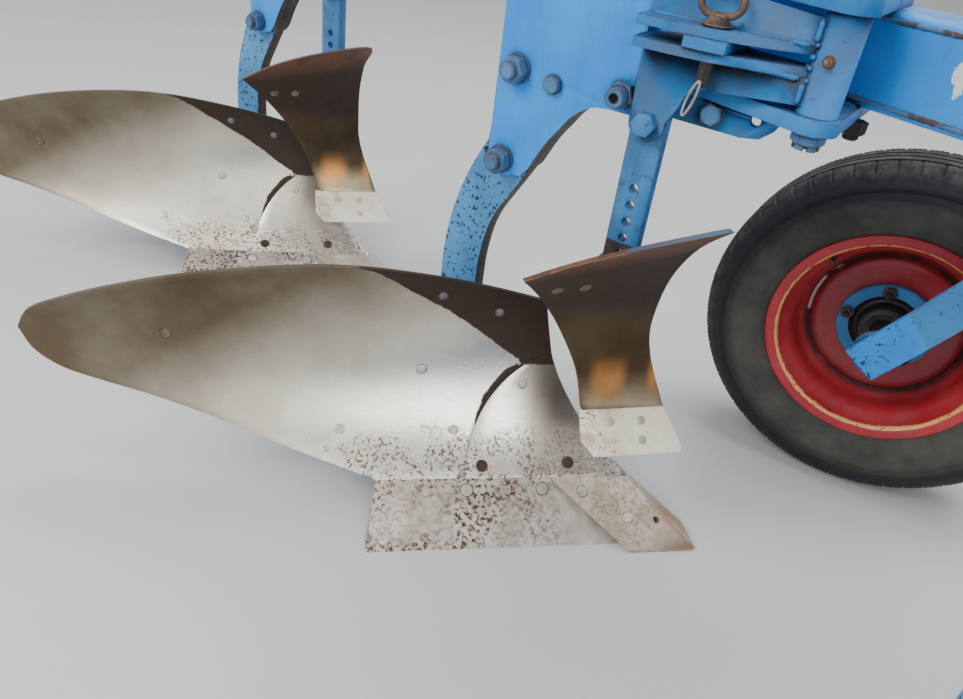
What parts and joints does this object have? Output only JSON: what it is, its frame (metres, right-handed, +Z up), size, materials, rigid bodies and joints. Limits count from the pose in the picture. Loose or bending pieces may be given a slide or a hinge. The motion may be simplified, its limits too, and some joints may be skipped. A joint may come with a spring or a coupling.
{
  "type": "reversible mouldboard plough",
  "caption": "Mounted turn-over mouldboard plough on a slanting square beam, with stepped furrow width, skimmers, depth wheel and headstock.",
  "frame": {"origin": "on the ground, under the middle of the bounding box, parked on its lower bodies", "axes": "+X is the direction of travel, towards the tractor; +Y is the driver's left; +Z is up"},
  "size_m": [3.5431, 1.5607, 1.67],
  "materials": {
    "frame_blue": "satin",
    "polished_steel": "satin",
    "dull_steel": "matt",
    "cast": "matt",
    "bolt_steel": "satin",
    "rim_red": "satin",
    "hub_blue": "satin",
    "tyre_black": "matt",
    "rod_chrome": "polished"
  },
  "bodies": {
    "headstock": {"tower": "frame_blue", "bearing_housing": "cast", "lower_link_bar": "cast", "top_link_lugs": "frame_blue", "stand_guide": "frame_blue"},
    "stand": {"stand_leg": "dull_steel"},
    "cylinder": {"cylinder_barrel": "frame_blue"},
    "rod": {"cylinder_rod": "rod_chrome"},
    "frame": {"turn_shaft": "cast", "head_plate": "frame_blue", "main_beam": "frame_blue", "hinge_brackets": "frame_blue", "hinge_pins": "bolt_steel", "consoles": "frame_blue", "width_pins": "bolt_steel", "cheeks": "frame_blue", "legs": "frame_blue", "leg_bolts": "bolt_steel", "frogs": "frame_blue", "shares": "dull_steel", "points": "dull_steel", "shins": "polished_steel", "mouldboards": "polished_steel", "landsides": "dull_steel", "wing_stays": "frame_blue", "skimmer_stalks": "frame_blue", "skimmer_brackets": "frame_blue", "skimmer_boards": "dull_steel", "skimmer_shares": "dull_steel", "wheel_bracket": "frame_blue"},
    "arm": {"swing_arm": "frame_blue", "stub_axle": "bolt_steel"},
    "wheel": {"wheel_hub": "hub_blue", "wheel_rim": "rim_red", "tyre": "tyre_black"}
  },
  "joints": [
    {"name": "turnover", "type": "hinge", "parent": "headstock", "child": "frame", "pos_m": [1.4488, -0.02751, 0.835], "axis": [1, 0, 0], "range_deg": [0, 180]},
    {"name": "cylinder_swing", "type": "hinge", "parent": "headstock", "child": "cylinder", "pos_m": [1.66281, -0.02751, 1.115], "axis": [1, 0, 0], "range_deg": [0, 42.9]},
    {"name": "rod_slide", "type": "slide", "parent": "cylinder", "child": "rod", "axis": [0, -0.3657, -0.9308], "range_m": [0, 0.089]},
    {"name": "wheel_swing", "type": "hinge", "parent": "frame", "child": "arm", "pos_m": [0.84881, 0.46249, 0.835], "axis": [0, 1, 0], "range_deg": [0, 84.9]},
    {"name": "wheel_spin", "type": "hinge", "parent": "arm", "child": "wheel", "pos_m": [0.2948, 0.58449, 0.328], "axis": [0, 1, 0], "continuous": true},
    {"name": "stand_slide", "type": "slide", "parent": "headstock", "child": "stand", "axis": [0, 0, 1], "range_m": [0, 0.3]}
  ],
  "couplings": [
    {"joint": "cylinder_swing", "follows": "turnover", "ratio": 0.2383}
  ]
}
